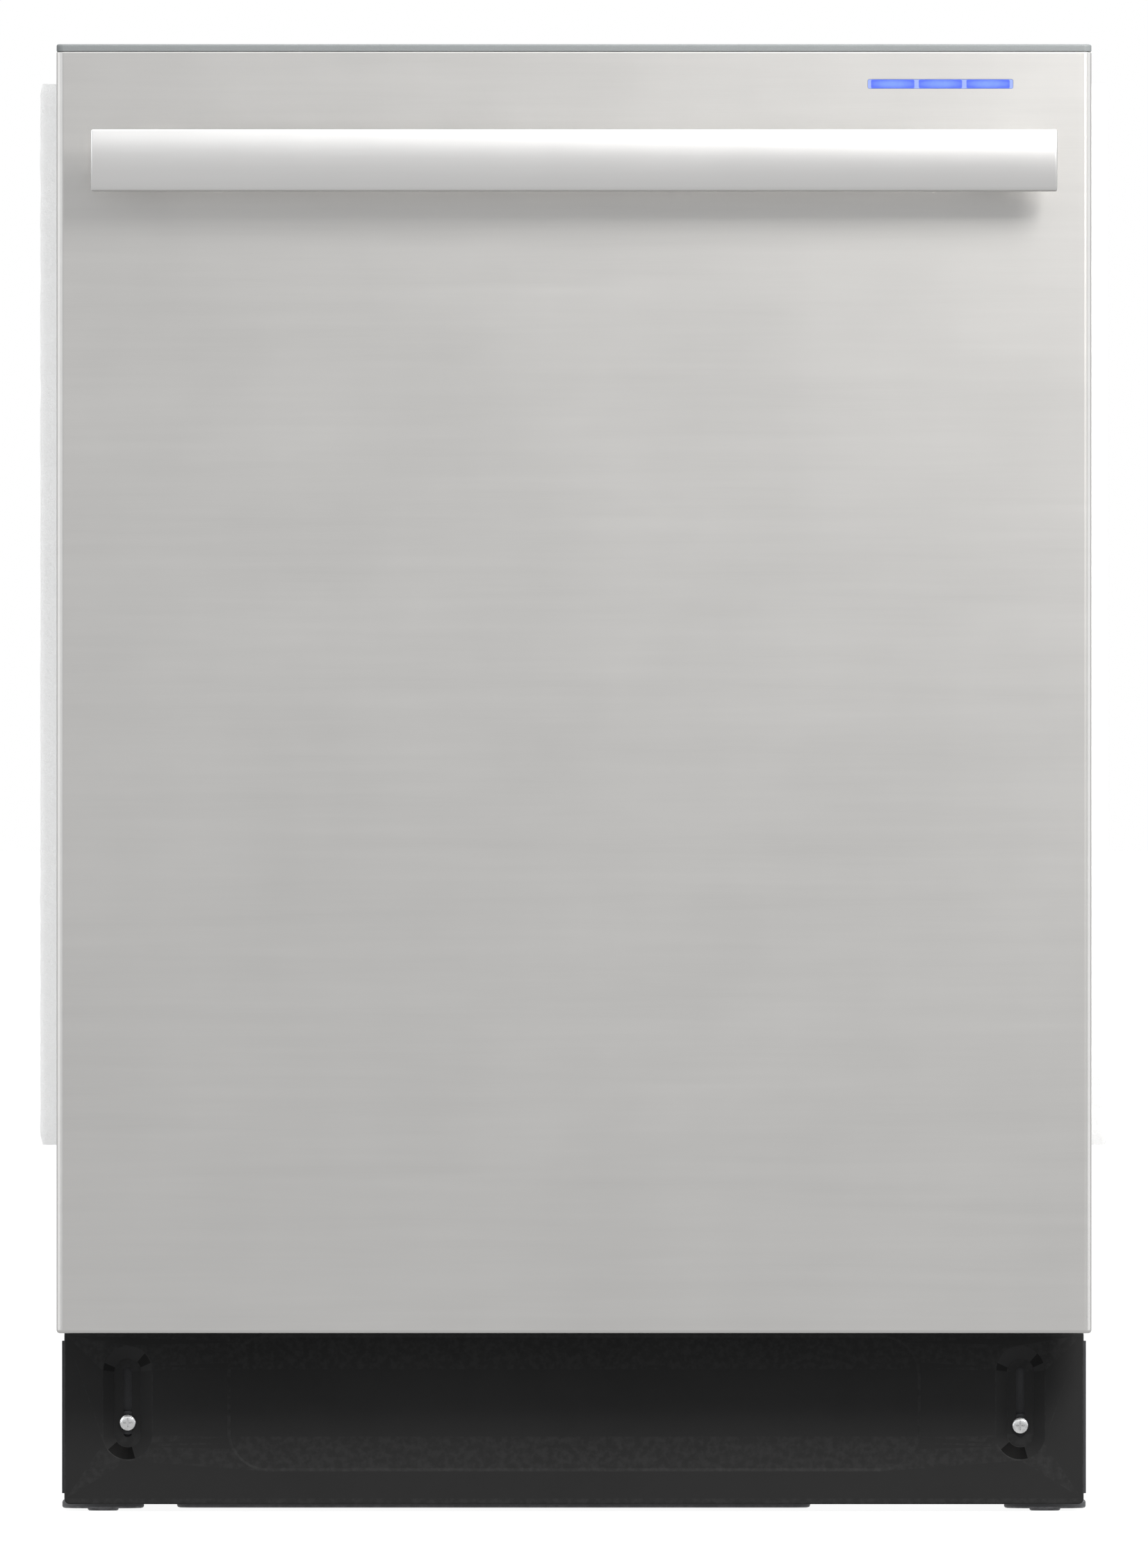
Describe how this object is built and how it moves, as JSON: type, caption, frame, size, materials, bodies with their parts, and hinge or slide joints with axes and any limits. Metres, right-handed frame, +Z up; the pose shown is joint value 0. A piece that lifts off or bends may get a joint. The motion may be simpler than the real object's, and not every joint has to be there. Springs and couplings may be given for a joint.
{
  "type": "built-in dishwasher",
  "caption": "Built-in dishwasher with a brushed steel drop-down door, bar handle, status light, dark toe-kick, steel tub, sliding racks and spinning spray arms.",
  "frame": {"origin": "on the floor, at the middle of the outline seen from above", "axes": "+Z up, front of the door towards -Y, +X to the viewer's right when facing the door"},
  "size_m": [0.6278, 0.622, 0.8604],
  "materials": {
    "stainless_door": "horizontal brushed grain, satin",
    "stainless_handle": "horizontal brushed grain, satin",
    "stainless_liner": "rolled satin steel",
    "stainless_tub": "rolled satin steel",
    "cap_grey": "fine satin plastic",
    "toe_black": "semi-matte moulded plastic with a fine grain",
    "base_grey": "glass-filled plastic, matt",
    "zinc_steel": "zinc-plated steel",
    "chrome_screw": "bright plated",
    "seal_rubber": "soft moulded rubber",
    "side_seal_white": "dense white fibre strip",
    "blanket_felt": "needled fibre felt",
    "pan_plastic": "vacuum-formed plastic",
    "sump_plastic": "moulded plastic",
    "pump_black": "moulded plastic",
    "filter_mesh": "fine perforated steel",
    "filter_plastic": "moulded plastic with mesh",
    "heater_steel": "heat-tinted steel tube",
    "feed_plastic": "moulded plastic",
    "valve_plastic": "moulded plastic",
    "float_white": "moulded plastic",
    "arm_grey": "moulded plastic",
    "foot_plastic": "moulded plastic",
    "lens_blue": "lit blue diffuser",
    "board_green": "solder-masked board",
    "bitumen_pad": "bitumen damping pad",
    "dispenser_grey": "moulded plastic",
    "dispenser_lid_grey": "moulded plastic",
    "rinse_blue": "moulded plastic",
    "button_grey": "moulded plastic",
    "rack_grey": "vinyl-coated wire",
    "basket_grey": "moulded plastic",
    "wheel_grey": "moulded plastic"
  },
  "bodies": {
    "cabinet": {"tub": "stainless_tub", "tub_gasket": "seal_rubber", "door_bottom_seal": "seal_rubber", "side_seals": "side_seal_white", "sound_blanket": "blanket_felt", "base_frame": "base_grey", "toe_kick": "toe_black", "toe_kick_screws": "chrome_screw", "drip_pan": "pan_plastic", "sump": "sump_plastic", "wash_pump": "pump_black", "drain_pump": "pump_black", "filter_plate": "filter_mesh", "heater_element": "heater_steel", "water_feed": "feed_plastic", "inlet_valve": "valve_plastic", "junction_box": "zinc_steel", "counter_brackets": "zinc_steel", "strike": "zinc_steel", "rail_tracks": "zinc_steel", "hinge_brackets": "zinc_steel"},
    "door": {"door_panel": "stainless_door", "door_liner": "stainless_liner", "hinge_arms": "zinc_steel", "control_cap": "cap_grey", "handle_bar": "stainless_handle", "handle_posts": "stainless_handle", "status_lens": "lens_blue", "control_board": "board_green", "door_insulation": "bitumen_pad", "dispenser": "dispenser_grey"},
    "lower_rack": {"lower_rack": "rack_grey", "wheel_carriers": "wheel_grey", "cutlery_basket": "basket_grey"},
    "upper_rack": {"upper_rack": "rack_grey", "middle_manifold": "arm_grey"},
    "rail_slides": {"rail_slides": "zinc_steel"},
    "wash_impeller": {"wash_impeller": "float_white"},
    "filter_cup": {"filter_cup": "filter_plastic"},
    "overfill_float": {"overfill_float": "float_white"},
    "lower_spray_arm": {"lower_spray_arm": "arm_grey"},
    "top_spray_arm": {"top_spray_arm": "arm_grey"},
    "leg_front_left": {"leg_front_left": "foot_plastic"},
    "leg_front_right": {"leg_front_right": "foot_plastic"},
    "leg_rear_left": {"leg_rear_left": "foot_plastic"},
    "leg_rear_right": {"leg_rear_right": "foot_plastic"},
    "dispenser_lid": {"dispenser_lid": "dispenser_lid_grey"},
    "rinse_cap": {"rinse_cap": "rinse_blue"},
    "button_power": {"button_power": "button_grey"},
    "button_cycle": {"button_cycle": "button_grey"},
    "button_heat": {"button_heat": "button_grey"},
    "button_delay": {"button_delay": "button_grey"},
    "button_start": {"button_start": "button_grey"},
    "latch_pawl": {"latch_pawl": "zinc_steel"},
    "wheels_front": {"wheels_front": "wheel_grey"},
    "wheels_rear": {"wheels_rear": "wheel_grey"},
    "tine_row_left": {"tine_row_left": "rack_grey"},
    "tine_row_right": {"tine_row_right": "rack_grey"},
    "cup_shelf": {"cup_shelf": "rack_grey"},
    "middle_spray_arm": {"middle_spray_arm": "arm_grey"}
  },
  "joints": [
    {"name": "door_hinge", "type": "hinge", "parent": "cabinet", "child": "door", "pos_m": [0, -0.238, 0.13], "axis": [1, 0, 0], "range_deg": [0, 90], "stiffness_Nm_per_rad": 14},
    {"name": "lower_rack_slide", "type": "slide", "parent": "cabinet", "child": "lower_rack", "axis": [0, -1, 0], "range_m": [0, 0.5]},
    {"name": "rail_extension", "type": "slide", "parent": "cabinet", "child": "rail_slides", "axis": [0, -1, 0], "range_m": [0, 0.225]},
    {"name": "upper_rack_slide", "type": "slide", "parent": "rail_slides", "child": "upper_rack", "axis": [0, -1, 0], "range_m": [0, 0.225]},
    {"name": "wheels_front_roll", "type": "hinge", "parent": "lower_rack", "child": "wheels_front", "pos_m": [0, -0.08, 0.172], "axis": [1, 0, 0], "continuous": true},
    {"name": "wheels_rear_roll", "type": "hinge", "parent": "lower_rack", "child": "wheels_rear", "pos_m": [0, 0.2, 0.172], "axis": [1, 0, 0], "continuous": true},
    {"name": "tine_row_left_fold", "type": "hinge", "parent": "lower_rack", "child": "tine_row_left", "pos_m": [-0.162, 0.02, 0.206], "axis": [0, 1, 0], "range_deg": [-90, 0]},
    {"name": "tine_row_right_fold", "type": "hinge", "parent": "lower_rack", "child": "tine_row_right", "pos_m": [-0.02, 0.02, 0.206], "axis": [0, 1, 0], "range_deg": [-90, 0]},
    {"name": "cup_shelf_fold", "type": "hinge", "parent": "upper_rack", "child": "cup_shelf", "pos_m": [0.236, 0.016, 0.494], "axis": [0, 1, 0], "range_deg": [0, 90]},
    {"name": "middle_spray_arm_spin", "type": "hinge", "parent": "upper_rack", "child": "middle_spray_arm", "pos_m": [0, 0.04, 0.4], "axis": [0, 0, 1], "continuous": true},
    {"name": "lower_spray_arm_spin", "type": "hinge", "parent": "cabinet", "child": "lower_spray_arm", "pos_m": [0, 0.04, 0.17], "axis": [0, 0, 1], "continuous": true},
    {"name": "top_spray_arm_spin", "type": "hinge", "parent": "cabinet", "child": "top_spray_arm", "pos_m": [0, 0.04, 0.81], "axis": [0, 0, 1], "continuous": true},
    {"name": "impeller_spin", "type": "hinge", "parent": "cabinet", "child": "wash_impeller", "pos_m": [-0.06, 0, 0.0546], "axis": [0, 1, 0], "continuous": true},
    {"name": "filter_cup_twist", "type": "hinge", "parent": "cabinet", "child": "filter_cup", "pos_m": [0.056, -0.008, 0.152], "axis": [0, 0, 1], "range_deg": [0, 60]},
    {"name": "float_lift", "type": "slide", "parent": "cabinet", "child": "overfill_float", "axis": [0, 0, 1], "range_m": [0, 0.01]},
    {"name": "dispenser_lid_slide", "type": "slide", "parent": "door", "child": "dispenser_lid", "axis": [-1, 0, 0], "range_m": [0, 0.06]},
    {"name": "rinse_cap_turn", "type": "hinge", "parent": "door", "child": "rinse_cap", "pos_m": [0.046, -0.2097, 0.5642], "axis": [0, 1, 0], "range_deg": [0, 90]},
    {"name": "latch_pawl_dip", "type": "hinge", "parent": "door", "child": "latch_pawl", "pos_m": [0, -0.232, 0.841], "axis": [1, 0, 0], "range_deg": [-10, 0], "stiffness_Nm_per_rad": 0.05, "springref_deg": 17.19},
    {"name": "leg_front_left_extend", "type": "slide", "parent": "cabinet", "child": "leg_front_left", "axis": [0, 0, 1], "range_m": [-0.045, 0]},
    {"name": "leg_rear_left_extend", "type": "slide", "parent": "cabinet", "child": "leg_rear_left", "axis": [0, 0, 1], "range_m": [-0.045, 0]},
    {"name": "leg_front_right_extend", "type": "slide", "parent": "cabinet", "child": "leg_front_right", "axis": [0, 0, 1], "range_m": [-0.045, 0]},
    {"name": "leg_rear_right_extend", "type": "slide", "parent": "cabinet", "child": "leg_rear_right", "axis": [0, 0, 1], "range_m": [-0.045, 0]},
    {"name": "button_power_press", "type": "slide", "parent": "door", "child": "button_power", "axis": [0, 0, -1], "range_m": [0, 0.001], "stiffness_N_per_m": 300},
    {"name": "button_cycle_press", "type": "slide", "parent": "door", "child": "button_cycle", "axis": [0, 0, -1], "range_m": [0, 0.001], "stiffness_N_per_m": 300},
    {"name": "button_heat_press", "type": "slide", "parent": "door", "child": "button_heat", "axis": [0, 0, -1], "range_m": [0, 0.001], "stiffness_N_per_m": 300},
    {"name": "button_delay_press", "type": "slide", "parent": "door", "child": "button_delay", "axis": [0, 0, -1], "range_m": [0, 0.001], "stiffness_N_per_m": 300},
    {"name": "button_start_press", "type": "slide", "parent": "door", "child": "button_start", "axis": [0, 0, -1], "range_m": [0, 0.001], "stiffness_N_per_m": 300}
  ],
  "couplings": [
    {"joint": "lower_rack_slide", "follows": "door_hinge", "m_per_rad": 0.09},
    {"joint": "wheels_front_roll", "follows": "door_hinge", "ratio": 5},
    {"joint": "wheels_rear_roll", "follows": "door_hinge", "ratio": 5},
    {"joint": "rail_extension", "follows": "door_hinge", "m_per_rad": 0.143},
    {"joint": "upper_rack_slide", "follows": "door_hinge", "m_per_rad": 0.143}
  ]
}
